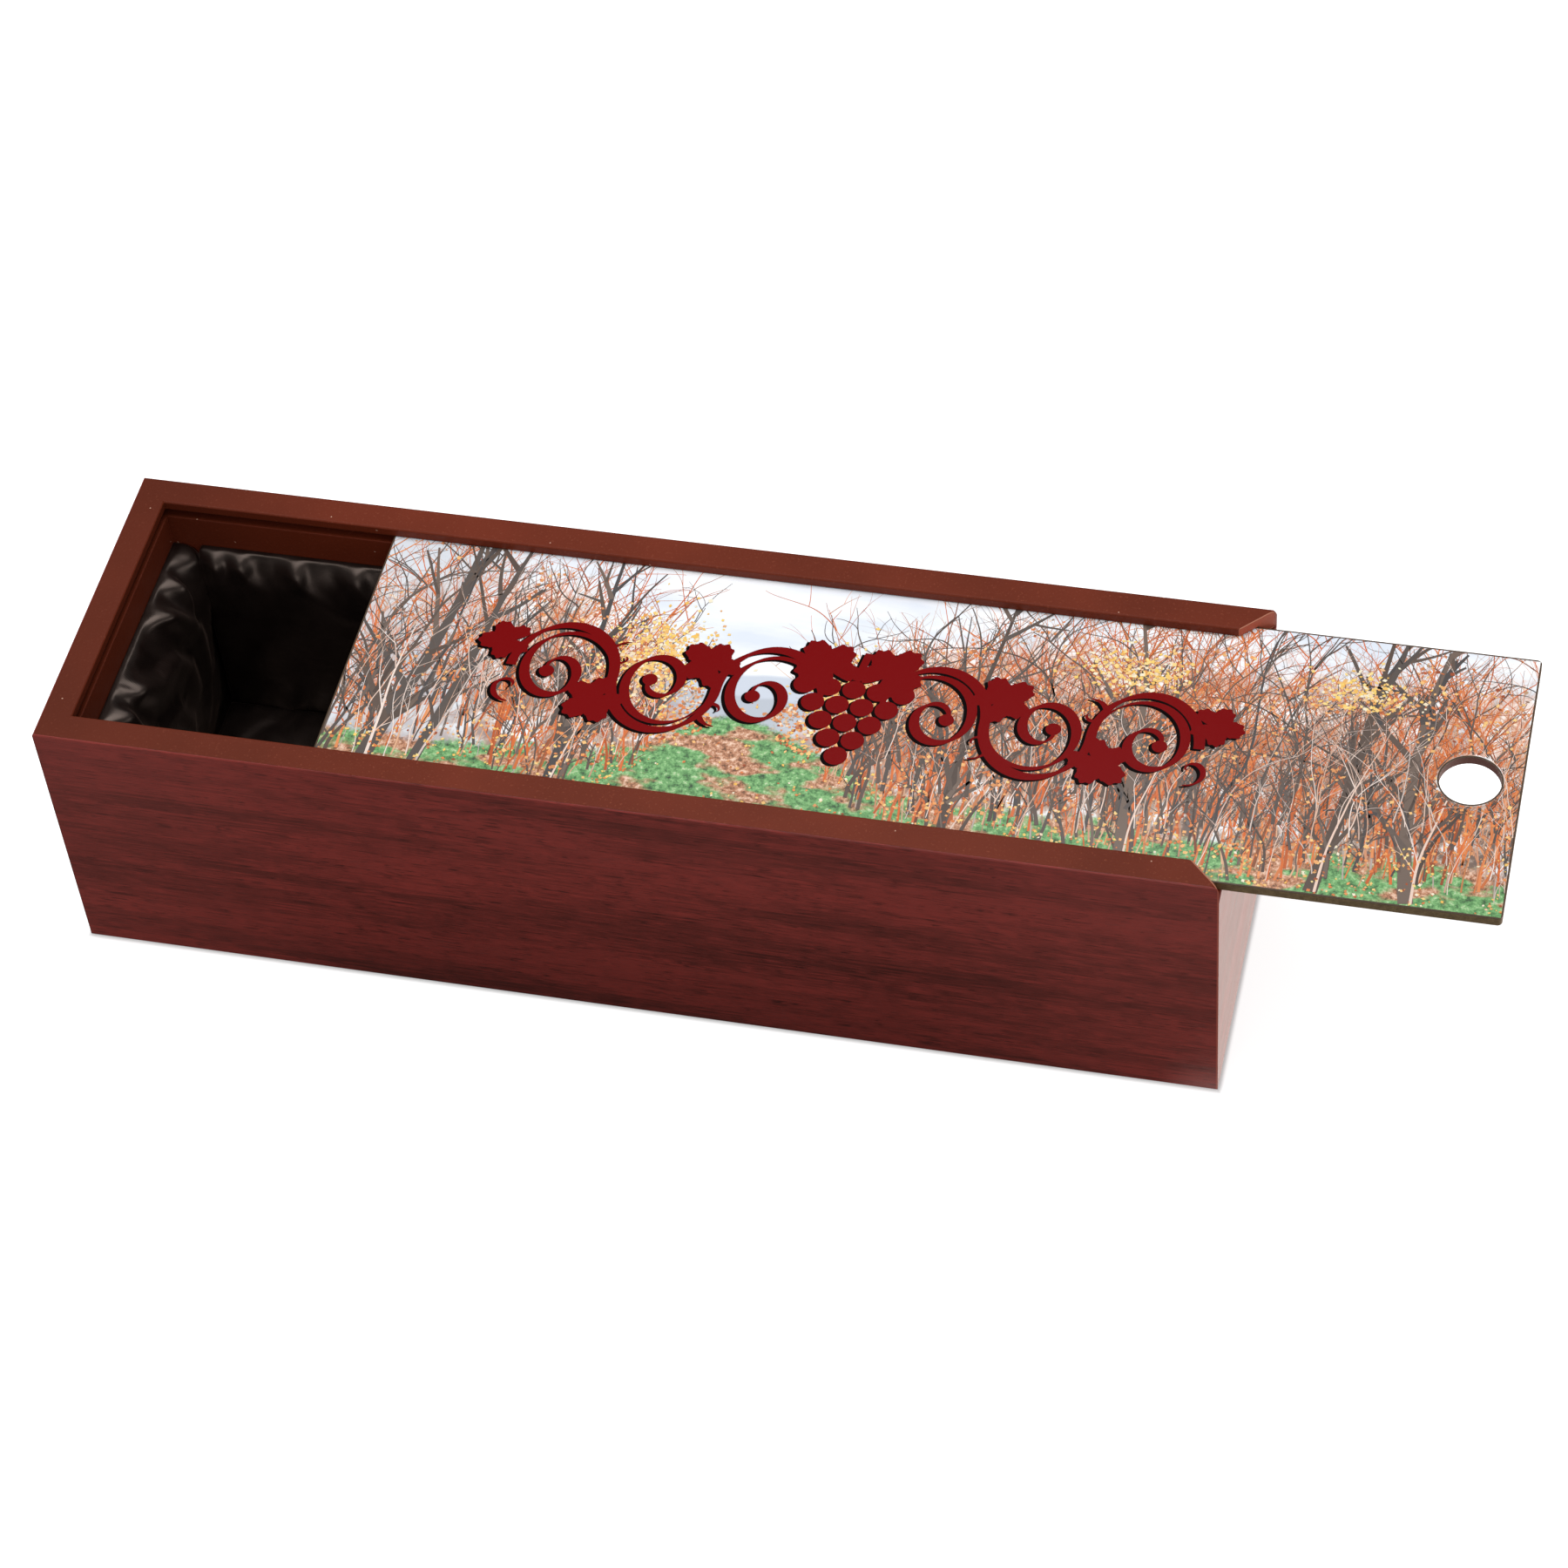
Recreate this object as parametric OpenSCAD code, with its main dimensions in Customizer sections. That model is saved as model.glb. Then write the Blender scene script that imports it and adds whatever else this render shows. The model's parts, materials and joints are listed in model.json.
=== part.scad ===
// Wooden box for one wine bottle, with a sliding lid and a padded satin lining.
// Four fibreboard walls are mitred at the corners, painted inside and on the rim, and faced with
// laminate outside. A groove runs round the inside of three walls. The fourth wall, the open end,
// stops at the groove's floor, so the lid slides out over it and bares the mitres above it.
// Origin: centre of the underside. +X to the open end, -Y to the front, +Z up. Sizes in mm.

/* [Box] */
// Outside length, from the closed end to the open end
box_length = 355.6; // [300:0.1:420]
// Outside width
box_width = 108; // [96:0.5:140]
// Outside height
box_height = 95.25; // [80:0.25:130]
// Thickness of each wall with its laminate
wall_thickness = 9.5; // [8:0.25:14]
// Thickness of the laminate on the outside of each wall
laminate_thickness = 0.5; // [0.5:0.1:1.2]
// Chamfer along the rim and along the bottom edges
arris = 0.4; // [0.1:0.1:0.4]
// Rounding of the side walls' top corners at the open end
tip_radius = 2.5; // [1:0.25:3]
// Rounding of the lips' inner corners at the open end, seen from above
lip_corner_radius = 2.5; // [0.5:0.25:4]

/* [Bottom panel] */
// Thickness of the bottom panel
bottom_thickness = 5; // [3:0.5:8]
// How far the bottom panel reaches under each wall
rebate_width = 5; // [3:0.5:6]
// Gap between the bottom panel's edge and the rebate
bottom_clearance = 0.15; // [0.05:0.05:0.5]

/* [Groove] */
// Wood left above the groove
lip_thickness = 3; // [2:0.25:4]
// Depth of the groove in each of the three walls
groove_depth = 5; // [3:0.25:6]

/* [Lid] */
// Thickness of the lid's hardboard
lid_board_thickness = 2.8; // [2:0.1:4]
// Thickness of the printed coat on the lid
print_thickness = 0.2; // [0.1:0.05:0.5]
// Gap under the lid in the groove
lid_lift = 0.1; // [0.05:0.05:0.4]
// Gap between the lid and the lip above it
lid_top_clearance = 0.3; // [0.1:0.05:0.8]
// Gap between the lid and the groove's bottom on each side
lid_side_clearance = 0.4; // [0.2:0.05:1]
// Gap between the closed lid and the closed end's groove
lid_end_clearance = 0.5; // [0.2:0.05:1.5]
// Rounding of the lid's corners
lid_corner_radius = 1.5; // [0.5:0.25:4]
// How far the lid stands open
lid_open = 79; // [0:1:260]
// Diameter of the finger hole
finger_hole_diameter = 18; // [12:0.5:24]
// Distance from the lid's outer end to the middle of the finger hole
finger_hole_inset = 15; // [14:0.5:30]

/* [Lining] */
// Drop from the rim to the lining's top edge
lining_drop = 17.5; // [12:0.25:30]
// Thickness of the greyboard behind each pad
greyboard_thickness = 1.5; // [1:0.1:2.5]
// Thickness of the wadding in each pad
wadding_thickness = 2.5; // [1.5:0.1:4]
// How far the satin puffs up over the wadding of the floor and side pads
puff = 2.2; // [2:0.1:3]
// How far the looser satin puffs up over the wadding of the end pads
end_puff = 6; // [4:0.25:8]
// Satin turned over the greyboard's edges
wrap_thickness = 0.8; // [0.4:0.1:1.2]
// Distance from a pad's edge to its wadding
wadding_inset = 7; // [6.5:0.5:12]
// Width of the round edge of a pad
roll = 6; // [4:0.25:6.5]
// How far a pad's sides draw in between its corners
draw_in = 0.8; // [0.2:0.1:1.5]
// Distance between two gathers in the satin
gather_pitch = 27; // [20:1:45]
// Depth of a gather in the floor and side pads
gather_depth = 0.9; // [0.3:0.1:1]
// Depth of a gather in the end pads
end_gather_depth = 2.4; // [0.5:0.1:2.6]
// Half width of a gather
gather_width = 4.5; // [3.5:0.25:7]
// How far a gather runs in from the edge
gather_reach = 26; // [10:1:40]
// Depth of the slow waves across a pad
wave_depth = 0.5; // [0:0.1:0.6]
// Length of the slow waves
wave_length = 46; // [30:1:80]
// Gap between neighbouring pieces of the lining
lining_gap = 0.3; // [0.1:0.05:1]
// Largest distance between two rows of points on a pad
pad_cell = 6.6; // [6:0.1:9]

/* [Hidden] */
$fn = 64;
slack = 1; // how far a cutter runs past what it cuts

inner_length = box_length - 2 * wall_thickness;
inner_width = box_width - 2 * wall_thickness;
groove_height = lid_lift + lid_board_thickness + print_thickness + lid_top_clearance;
groove_floor = box_height - lip_thickness - groove_height;

lid_length = box_length - (wall_thickness - groove_depth) - lid_end_clearance;
lid_width = inner_width + 2 * (groove_depth - lid_side_clearance);
lid_outer_end = box_length / 2 + lid_open;
lid_underside = groove_floor + lid_lift;

pad_thickness = greyboard_thickness + wadding_thickness + puff;
end_pad_thickness = greyboard_thickness + wadding_thickness + end_puff;
pad_edge = greyboard_thickness + wrap_thickness;
wall_pad_height = box_height - lining_drop - bottom_thickness;
end_pad_length = inner_width - 2 * lining_gap;
side_pad_length = inner_length - 2 * (end_pad_thickness + lining_gap);
floor_pad_width = inner_width - 2 * (pad_thickness + lining_gap);

paint_colour = [0.36, 0.17, 0.13];
laminate_colour = [0.34, 0.12, 0.11];
bottom_colour = [0.45, 0.33, 0.24];
hardboard_colour = [0.33, 0.25, 0.16];
print_colour = [0.80, 0.62, 0.50];
greyboard_colour = [0.55, 0.53, 0.50];
wadding_colour = [0.90, 0.90, 0.88];
satin_colour = [0.07, 0.07, 0.08];

// ---------------------------------------------------------------- carcass

// Cross-section of a grooved wall: x runs in from the outside, y runs up.
function grooved_section() = [
    [laminate_thickness, 0],
    [wall_thickness - rebate_width, 0],
    [wall_thickness - rebate_width, bottom_thickness],
    [wall_thickness, bottom_thickness],
    [wall_thickness, groove_floor],
    [wall_thickness - groove_depth, groove_floor],
    [wall_thickness - groove_depth, groove_floor + groove_height],
    [wall_thickness, groove_floor + groove_height],
    [wall_thickness, box_height - arris],
    [wall_thickness - arris, box_height],
    [laminate_thickness, box_height]
];

// Cross-section of the open end's wall, which stops at the groove's floor.
function low_section() = [
    [laminate_thickness, 0],
    [wall_thickness - rebate_width, 0],
    [wall_thickness - rebate_width, bottom_thickness],
    [wall_thickness, bottom_thickness],
    [wall_thickness, groove_floor - arris],
    [wall_thickness - arris, groove_floor],
    [laminate_thickness, groove_floor]
];

// Cross-section of a laminate skin of the given height.
function skin_section(height) = [
    [arris, 0],
    [laminate_thickness, 0],
    [laminate_thickness, height],
    [arris, height],
    [0, height - arris],
    [0, arris]
];

// The space of the front wall between its two mitres, seen from above.
module side_mitre() {
    linear_extrude(box_height)
        polygon([
            [-box_length / 2, -box_width / 2],
            [box_length / 2, -box_width / 2],
            [box_length / 2 - box_width / 2, 0],
            [-box_length / 2 + box_width / 2, 0]
        ]);
}

// The space of the closed end between its two mitres.
module end_mitre() {
    linear_extrude(box_height)
        polygon([
            [-box_length / 2, -box_width / 2],
            [-box_length / 2 + box_width / 2, 0],
            [-box_length / 2, box_width / 2]
        ]);
}

// Takes the top corner off a side wall at the open end, round as sanded.
module tip_cutter() {
    translate([box_length / 2 - tip_radius, 0, box_height - tip_radius])
        rotate([90, 0, 0])
            difference() {
                translate([0, 0, -box_width / 2 - slack])
                    cube([tip_radius + slack, tip_radius + slack, box_width + 2 * slack]);
                translate([0, 0, -box_width / 2 - 2 * slack])
                    cylinder(r = tip_radius, h = box_width + 4 * slack);
            }
}

// Takes the inner corner off the front wall's lip at the open end, where it meets the mitre.
module lip_corner_cutter() {
    corner = [inner_length / 2, -inner_width / 2];
    middle = corner + lip_corner_radius * [1 - sqrt(2), -1];
    reach = lip_corner_radius + slack;
    translate([0, 0, groove_floor + groove_height / 2])
        linear_extrude(groove_height / 2 + lip_thickness + slack)
            difference() {
                polygon([
                    middle,
                    middle + [0, reach],
                    corner + [slack, slack],
                    middle + [reach, reach] / sqrt(2)
                ]);
                translate(middle)
                    circle(r = lip_corner_radius);
            }
}

// A front piece with the given cross-section, mitred at both ends.
module side_piece(section) {
    difference() {
        intersection() {
            translate([0, -box_width / 2, 0])
                rotate([90, 0, 90])
                    linear_extrude(box_length, center = true)
                        polygon(section);
            side_mitre();
        }
        tip_cutter();
    }
}

// A closed-end piece with the given cross-section, mitred at both ends.
module end_piece(section) {
    intersection() {
        translate([-box_length / 2, 0, 0])
            rotate([90, 0, 0])
                linear_extrude(box_width, center = true)
                    polygon(section);
        end_mitre();
    }
}

module grooved_side() {
    difference() {
        side_piece(grooved_section());
        lip_corner_cutter();
    }
}

module front_side() {
    color(paint_colour)
        grooved_side();
}

module rear_side() {
    color(paint_colour)
        mirror([0, 1, 0])
            grooved_side();
}

module closed_end() {
    color(paint_colour)
        end_piece(grooved_section());
}

module open_end() {
    color(paint_colour)
        mirror([1, 0, 0])
            end_piece(low_section());
}

module front_laminate() {
    color(laminate_colour)
        side_piece(skin_section(box_height));
}

module rear_laminate() {
    color(laminate_colour)
        mirror([0, 1, 0])
            side_piece(skin_section(box_height));
}

module closed_end_laminate() {
    color(laminate_colour)
        end_piece(skin_section(box_height));
}

module open_end_laminate() {
    color(laminate_colour)
        mirror([1, 0, 0])
            end_piece(skin_section(groove_floor));
}

// The bottom panel drops into the rebate, flush with the walls' undersides.
module bottom_panel() {
    reach = rebate_width - bottom_clearance;
    color(bottom_colour)
        translate([-inner_length / 2 - reach, -inner_width / 2 - reach, 0])
            cube([inner_length + 2 * reach, inner_width + 2 * reach, bottom_thickness]);
}

// -------------------------------------------------------------------- lid

// Rounds one corner of a plate: the corner at the origin, the plate towards -X and -Y.
module corner_cutter(height) {
    difference() {
        translate([-lid_corner_radius, -lid_corner_radius, -slack])
            cube([lid_corner_radius + slack, lid_corner_radius + slack, height + 2 * slack]);
        translate([-lid_corner_radius, -lid_corner_radius, -2 * slack])
            cylinder(r = lid_corner_radius, h = height + 4 * slack);
    }
}

// One layer of the lid, from the given height up, with its corners and its finger hole.
module lid_layer(bottom, height) {
    translate([lid_outer_end - lid_length / 2, 0, bottom])
        difference() {
            translate([-lid_length / 2, -lid_width / 2, 0])
                cube([lid_length, lid_width, height]);
            for (flip_x = [0, 1], flip_y = [0, 1])
                mirror([flip_x, 0, 0])
                    mirror([0, flip_y, 0])
                        translate([lid_length / 2, lid_width / 2, 0])
                            corner_cutter(height);
            translate([lid_length / 2 - finger_hole_inset, 0, -slack])
                cylinder(d = finger_hole_diameter, h = height + 2 * slack);
        }
}

module lid_panel() {
    color(hardboard_colour)
        lid_layer(lid_underside, lid_board_thickness);
}

module lid_print() {
    color(print_colour)
        lid_layer(lid_underside + lid_board_thickness, print_thickness);
}

// ----------------------------------------------------------------- lining
// Each pad is a greyboard with wadding on it, both inside a satin cover that is turned over the
// board's edges. A pad is drawn lying down: u along X, v along Y from 0, and its back at z = 0.

// Rows of points across a length: close together over the round edges, even between them.
function stations(length) =
    let (count = ceil((length - 2 * roll) / pad_cell))
    concat(
        [0, roll * 0.15, roll * 0.5],
        [for (i = [0 : count]) roll + (length - 2 * roll) * i / count],
        [length - roll * 0.5, length - roll * 0.15, length]
    );

// Height of the round edge, from 0 at a side to 1 where the pad is full.
function edge_roll(distance) =
    distance >= roll ? 1 : sqrt(1 - pow(1 - distance / roll, 2));

function total(values) = values * [for (value = values) 1];

// Number of gathers along an edge.
function gather_count(length) = max(2, round(length / gather_pitch));

// Middle of gather i: evenly spaced, then shifted a little to one side or the other.
function gather_middle(i, length, phase) =
    length * (i + 0.5) / gather_count(length) + gather_pitch * 0.22 * sin(phase + 97 * i);

// Lean of gather i, in mm sideways for each mm in from the edge.
function gather_lean(i, phase) = 0.55 * sin(phase + 151 * i);

// Depth of all gathers at a point, from 0 to 1. Each one runs in from the nearer long edge,
// bends like an S, and fades out.
function gathers(u, v, length, width, phase) =
    let (inward = min(v, width - v))
    min(1, exp(-inward / gather_reach) * total([
        for (i = [0 : gather_count(length) - 1])
            let (middle = gather_middle(i, length, phase) + gather_lean(i, phase) * inward
                + 1.8 * sin(inward * 9 + 60 * i))
            exp(-pow((u - middle) / gather_width, 2))
    ]));

// Slow waves across a pad, from 0 to 1.
function waves(u, v, phase) =
    0.5 - 0.5 * cos(360 * u / wave_length + phase) * cos(300 * v / wave_length - phase);

// Height of the satin at a point of a pad with the given thickness and depth of gathers.
function satin_height(u, v, length, width, thickness, gather, phase) =
    let (
        full = edge_roll(min(u, length - u)) * edge_roll(min(v, width - v)),
        dip = gather * gathers(u, v, length, width, phase) + wave_depth * waves(u, v, phase)
    )
    pad_edge + (thickness - pad_edge - dip) * full;

// Draws a point towards the pad's middle: most halfway along a side, and not at all at a corner.
function drawn(position, length, across, width) =
    let (
        side = position < length / 2 ? 1 : -1,
        near = max(0, 1 - min(position, length - position) / (2 * roll))
    )
    position + side * draw_in * near * sin(180 * across / width);

// Corners of a rectangle that lies inside the pad's outline, anticlockwise.
function inset_corners(length, width, inset, z) = [
    [inset, inset, z],
    [length - inset, inset, z],
    [length - inset, width - inset, z],
    [inset, width - inset, z]
];

// Satin cover: a crowned, gathered face, upright edges, and a stepped hollow in the back that
// holds the greyboard and the wadding.
module satin_cover(length, width, thickness, gather, phase) {
    us = stations(length);
    vs = stations(width);
    nu = len(us) - 1;
    nv = len(vs) - 1;
    grid = (nu + 1) * (nv + 1);
    ring = concat(
        [for (i = [0 : nu - 1]) [i, 0]],
        [for (j = [0 : nv - 1]) [nu, j]],
        [for (i = [nu : -1 : 1]) [i, nv]],
        [for (j = [nv : -1 : 1]) [0, j]]
    );
    ring_count = len(ring);
    side_starts = [0, nu, nu + nv, 2 * nu + nv, ring_count];
    corner_base = grid + ring_count;
    points = concat(
        [
            for (i = [0 : nu], j = [0 : nv])
                let (u = us[i], v = vs[j])
                [drawn(u, length, v, width), drawn(v, width, u, length),
                    satin_height(u, v, length, width, thickness, gather, phase)]
        ],
        [for (step = ring) [us[step[0]], vs[step[1]], 0]],
        inset_corners(length, width, wrap_thickness, 0),
        inset_corners(length, width, wrap_thickness, greyboard_thickness),
        inset_corners(length, width, wadding_inset, greyboard_thickness),
        inset_corners(length, width, wadding_inset, greyboard_thickness + wadding_thickness)
    );
    face = [
        for (i = [0 : nu - 1], j = [0 : nv - 1])
            let (a = i * (nv + 1) + j, b = a + nv + 1, c = b + 1, d = a + 1)
            each [[a, d, c], [a, c, b]]
    ];
    edges = [
        for (k = [0 : ring_count - 1])
            let (
                next = (k + 1) % ring_count,
                top_a = ring[k][0] * (nv + 1) + ring[k][1],
                top_b = ring[next][0] * (nv + 1) + ring[next][1]
            )
            each [[top_a, top_b, grid + next], [top_a, grid + next, grid + k]]
    ];
    back = [
        for (side = [0 : 3])
            let (corner = corner_base + side, next_corner = corner_base + (side + 1) % 4)
            each concat(
                [
                    for (k = [side_starts[side] : side_starts[side + 1] - 1])
                        [grid + k, grid + (k + 1) % ring_count, corner]
                ],
                [[grid + side_starts[side + 1] % ring_count, next_corner, corner]]
            )
    ];
    hollow = [
        for (level = [0 : 2], side = [0 : 3])
            let (
                a = corner_base + 4 * level + side,
                b = corner_base + 4 * level + (side + 1) % 4
            )
            each [[a, b, b + 4], [a, b + 4, a + 4]]
    ];
    last = corner_base + 12;
    ceiling = [[last, last + 1, last + 2], [last, last + 2, last + 3]];
    translate([-length / 2, 0, 0])
        polyhedron(points, concat(face, edges, back, hollow, ceiling));
}

// Greyboard of a pad, inside the satin turned over its edges.
module greyboard(length, width) {
    translate([-length / 2 + wrap_thickness, wrap_thickness, 0])
        cube([length - 2 * wrap_thickness, width - 2 * wrap_thickness, greyboard_thickness]);
}

// Wadding of a pad, on the greyboard.
module wadding(length, width) {
    translate([-length / 2 + wadding_inset, wadding_inset, greyboard_thickness])
        cube([length - 2 * wadding_inset, width - 2 * wadding_inset, wadding_thickness]);
}

// The five places of the pads: each stands a lying pad against its wall or lays it on the bottom.
module on_floor() {
    translate([0, -floor_pad_width / 2, bottom_thickness])
        children();
}

module on_front() {
    translate([0, -inner_width / 2, bottom_thickness])
        rotate([90, 0, 180])
            children();
}

module on_rear() {
    translate([0, inner_width / 2, bottom_thickness])
        rotate([90, 0, 0])
            children();
}

module on_closed_end() {
    translate([-inner_length / 2, 0, bottom_thickness])
        rotate([90, 0, 90])
            children();
}

module on_open_end() {
    translate([inner_length / 2, 0, bottom_thickness])
        rotate([90, 0, -90])
            children();
}

module floor_satin() {
    color(satin_colour)
        on_floor()
            satin_cover(side_pad_length, floor_pad_width, pad_thickness, gather_depth, 20);
}

module front_satin() {
    color(satin_colour)
        on_front()
            satin_cover(side_pad_length, wall_pad_height, pad_thickness, gather_depth, 75);
}

module rear_satin() {
    color(satin_colour)
        on_rear()
            satin_cover(side_pad_length, wall_pad_height, pad_thickness, gather_depth, 140);
}

module closed_end_satin() {
    color(satin_colour)
        on_closed_end()
            satin_cover(end_pad_length, wall_pad_height, end_pad_thickness, end_gather_depth, 215);
}

module open_end_satin() {
    color(satin_colour)
        on_open_end()
            satin_cover(end_pad_length, wall_pad_height, end_pad_thickness, end_gather_depth, 300);
}

module floor_greyboard() {
    color(greyboard_colour) on_floor() greyboard(side_pad_length, floor_pad_width);
}

module front_greyboard() {
    color(greyboard_colour) on_front() greyboard(side_pad_length, wall_pad_height);
}

module rear_greyboard() {
    color(greyboard_colour) on_rear() greyboard(side_pad_length, wall_pad_height);
}

module closed_end_greyboard() {
    color(greyboard_colour) on_closed_end() greyboard(end_pad_length, wall_pad_height);
}

module open_end_greyboard() {
    color(greyboard_colour) on_open_end() greyboard(end_pad_length, wall_pad_height);
}

module floor_wadding() {
    color(wadding_colour) on_floor() wadding(side_pad_length, floor_pad_width);
}

module front_wadding() {
    color(wadding_colour) on_front() wadding(side_pad_length, wall_pad_height);
}

module rear_wadding() {
    color(wadding_colour) on_rear() wadding(side_pad_length, wall_pad_height);
}

module closed_end_wadding() {
    color(wadding_colour) on_closed_end() wadding(end_pad_length, wall_pad_height);
}

module open_end_wadding() {
    color(wadding_colour) on_open_end() wadding(end_pad_length, wall_pad_height);
}

front_side();
rear_side();
closed_end();
open_end();
bottom_panel();
front_laminate();
rear_laminate();
closed_end_laminate();
open_end_laminate();
floor_greyboard();
front_greyboard();
rear_greyboard();
closed_end_greyboard();
open_end_greyboard();
floor_wadding();
front_wadding();
rear_wadding();
closed_end_wadding();
open_end_wadding();
floor_satin();
front_satin();
rear_satin();
closed_end_satin();
open_end_satin();
lid_panel();
lid_print();
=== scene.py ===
"""Looks of a wooden bottle box with a sliding printed lid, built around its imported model. Metres."""

import json
import math
import random

import bpy
import numpy as np
from mathutils import Euler, Matrix, Vector, noise


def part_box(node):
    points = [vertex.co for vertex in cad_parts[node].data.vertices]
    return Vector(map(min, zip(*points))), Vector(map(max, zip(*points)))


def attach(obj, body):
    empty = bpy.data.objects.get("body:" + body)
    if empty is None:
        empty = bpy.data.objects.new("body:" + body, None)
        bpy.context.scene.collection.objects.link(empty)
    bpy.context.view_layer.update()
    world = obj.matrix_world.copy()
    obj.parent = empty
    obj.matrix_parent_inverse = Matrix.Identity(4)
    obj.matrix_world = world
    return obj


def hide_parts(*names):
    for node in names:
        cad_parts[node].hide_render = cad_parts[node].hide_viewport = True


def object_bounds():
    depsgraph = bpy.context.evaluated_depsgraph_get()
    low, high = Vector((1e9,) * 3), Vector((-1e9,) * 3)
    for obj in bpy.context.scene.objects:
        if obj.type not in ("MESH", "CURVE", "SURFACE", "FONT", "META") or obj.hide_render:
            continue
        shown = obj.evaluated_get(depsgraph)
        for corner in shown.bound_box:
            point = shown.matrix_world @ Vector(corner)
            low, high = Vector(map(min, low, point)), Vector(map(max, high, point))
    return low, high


MM = 0.001
SQUARE = ((-1, -1), (1, -1), (1, 1), (-1, 1))

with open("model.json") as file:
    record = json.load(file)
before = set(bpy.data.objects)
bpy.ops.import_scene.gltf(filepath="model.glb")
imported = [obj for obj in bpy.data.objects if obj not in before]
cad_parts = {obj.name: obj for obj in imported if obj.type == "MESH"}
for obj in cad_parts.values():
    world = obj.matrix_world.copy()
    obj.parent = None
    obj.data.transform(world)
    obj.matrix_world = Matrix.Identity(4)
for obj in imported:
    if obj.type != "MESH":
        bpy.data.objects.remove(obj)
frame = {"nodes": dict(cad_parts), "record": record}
cad_low, cad_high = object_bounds()
NODE_MATERIALS = {node["node"]: node["material_slot"] for node in frame["record"]["subparts"]}
BOX_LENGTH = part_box("open_end_laminate")[1].x - cad_low.x

# ---- camera, floor and light

CAMERA_PLACE = (0.29915, -0.83613, 1.07486)
CAMERA_TURN = (40.4004, 3.9922, 12.76)  # degrees about X, Y and Z
SENSOR = 36.0  # mm, for the square frame
LENS = 102.206  # mm

camera = bpy.data.objects.new("camera", bpy.data.cameras.new("camera"))
camera.data.sensor_width = SENSOR
camera.data.lens = LENS
camera.data.clip_start = 0.01
camera.location = CAMERA_PLACE
camera.rotation_euler = Euler([math.radians(angle) for angle in CAMERA_TURN])
bpy.context.scene.collection.objects.link(camera)
bpy.context.scene.camera = camera


def soft_light(name, place, aim, size, power):
    """A square area lamp at a place, turned towards a point."""
    lamp = bpy.data.lights.new(name, "AREA")
    lamp.size = size
    lamp.energy = power
    light = bpy.data.objects.new(name, lamp)
    light.location = place
    light.rotation_euler = (Vector(aim) - Vector(place)).to_track_quat("-Z", "Y").to_euler()
    bpy.context.scene.collection.objects.link(light)


soft_light("overhead", (-0.1, 0.15, 1.15), (0, 0, 0.05), 0.9, 10.2)
soft_light("front_fill", (0.1, -1.4, 0.8), (0, 0, 0.05), 0.8, 3.4)
soft_light("right_fill", (1.3, -0.3, 0.6), (0.1, 0, 0.05), 0.7, 3.1)

SKY_STRENGTH = 0.33  # what the surroundings add to the lamps
SKY_GLOSS = 0.12  # how bright they look in a reflection
FLOOR_HALF = 6.0
WHITE = (1.0, 1.0, 1.0, 1.0)
FLOOR_COLOUR = (0.6, 0.6, 0.6, 1.0)
FLOOR_LIFT = 0.82  # glow that makes the floor white to the camera and its shadow faint
# painted shadow: a soft dark line that the floor's material paints along the box's foot
CONTACT_WIDTH = 1.8 * MM  # the soft dark line on the floor along the box's foot
CONTACT_SHADE = 0.5  # how much of the lift it takes
FLOOR_GLOSS = 0.13  # how bright the floor looks in a reflection
CARD_GLOSS = 1.9  # and on the pale card beside the open end
CARD_COLOUR = (1.0, 0.84, 0.78, 1.0)
CARD_FADE = (0.02, 0.01)  # how softly the card begins, along X and Y


def formula(operation):
    """A method that writes a math node for a value and, if there is one, the other value."""
    return lambda self, *other: self.tree.math(operation, self, *other)


class Value:
    """A node's result. Formulas of values add the nodes that work them out."""

    def __init__(self, tree, socket):
        self.tree = tree
        self.socket = socket

    __add__ = formula("ADD")
    __sub__ = formula("SUBTRACT")
    __mul__ = formula("MULTIPLY")
    __abs__ = formula("ABSOLUTE")
    __gt__ = formula("GREATER_THAN")
    __lt__ = formula("LESS_THAN")

    def __rsub__(self, other):
        return self.tree.math("SUBTRACT", other, self)


class Tree:
    """Adds nodes to a node tree and links them."""

    def __init__(self, tree):
        tree.nodes.clear()
        self.tree = tree

    def node(self, kind, **sockets):
        """A new shader node with some of its sockets fed; their names have _ for a space."""
        node = self.tree.nodes.new("ShaderNode" + kind)
        for name, value in sockets.items():
            self.feed(node.inputs[name.replace("_", " ")], value)
        return node

    def feed(self, socket, value):
        """Links a result to a socket, or writes a constant there."""
        if isinstance(value, Value):
            self.tree.links.new(value.socket, socket)
        else:
            socket.default_value = value

    def result(self, node, *values, output=0):
        """What comes out of a node when values are fed to its first sockets."""
        for socket, value in zip(node.inputs, values):
            self.feed(socket, value)
        return Value(self, node.outputs[output])

    def math(self, operation, *values, kind="Math"):
        node = self.node(kind)
        node.operation = operation
        return self.result(node, *values)

    def parts(self, vector):
        node = self.node("SeparateXYZ", Vector=vector)
        return [Value(self, output) for output in node.outputs]

    def point(self):
        """The point on the object, in metres."""
        return self.result(self.node("TexCoord"), output="Object")

    def ray(self, kind):
        """1 for this kind of ray, such as Camera or Glossy, and 0 for others."""
        return self.result(self.node("LightPath"), output=f"Is {kind} Ray")

    def between(self, value, low, high):
        """0 where the value is at low, 1 where it is at high, smooth between them."""
        node = self.node("MapRange")
        node.interpolation_type = "SMOOTHSTEP"
        return self.result(node, value, low, high)


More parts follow.
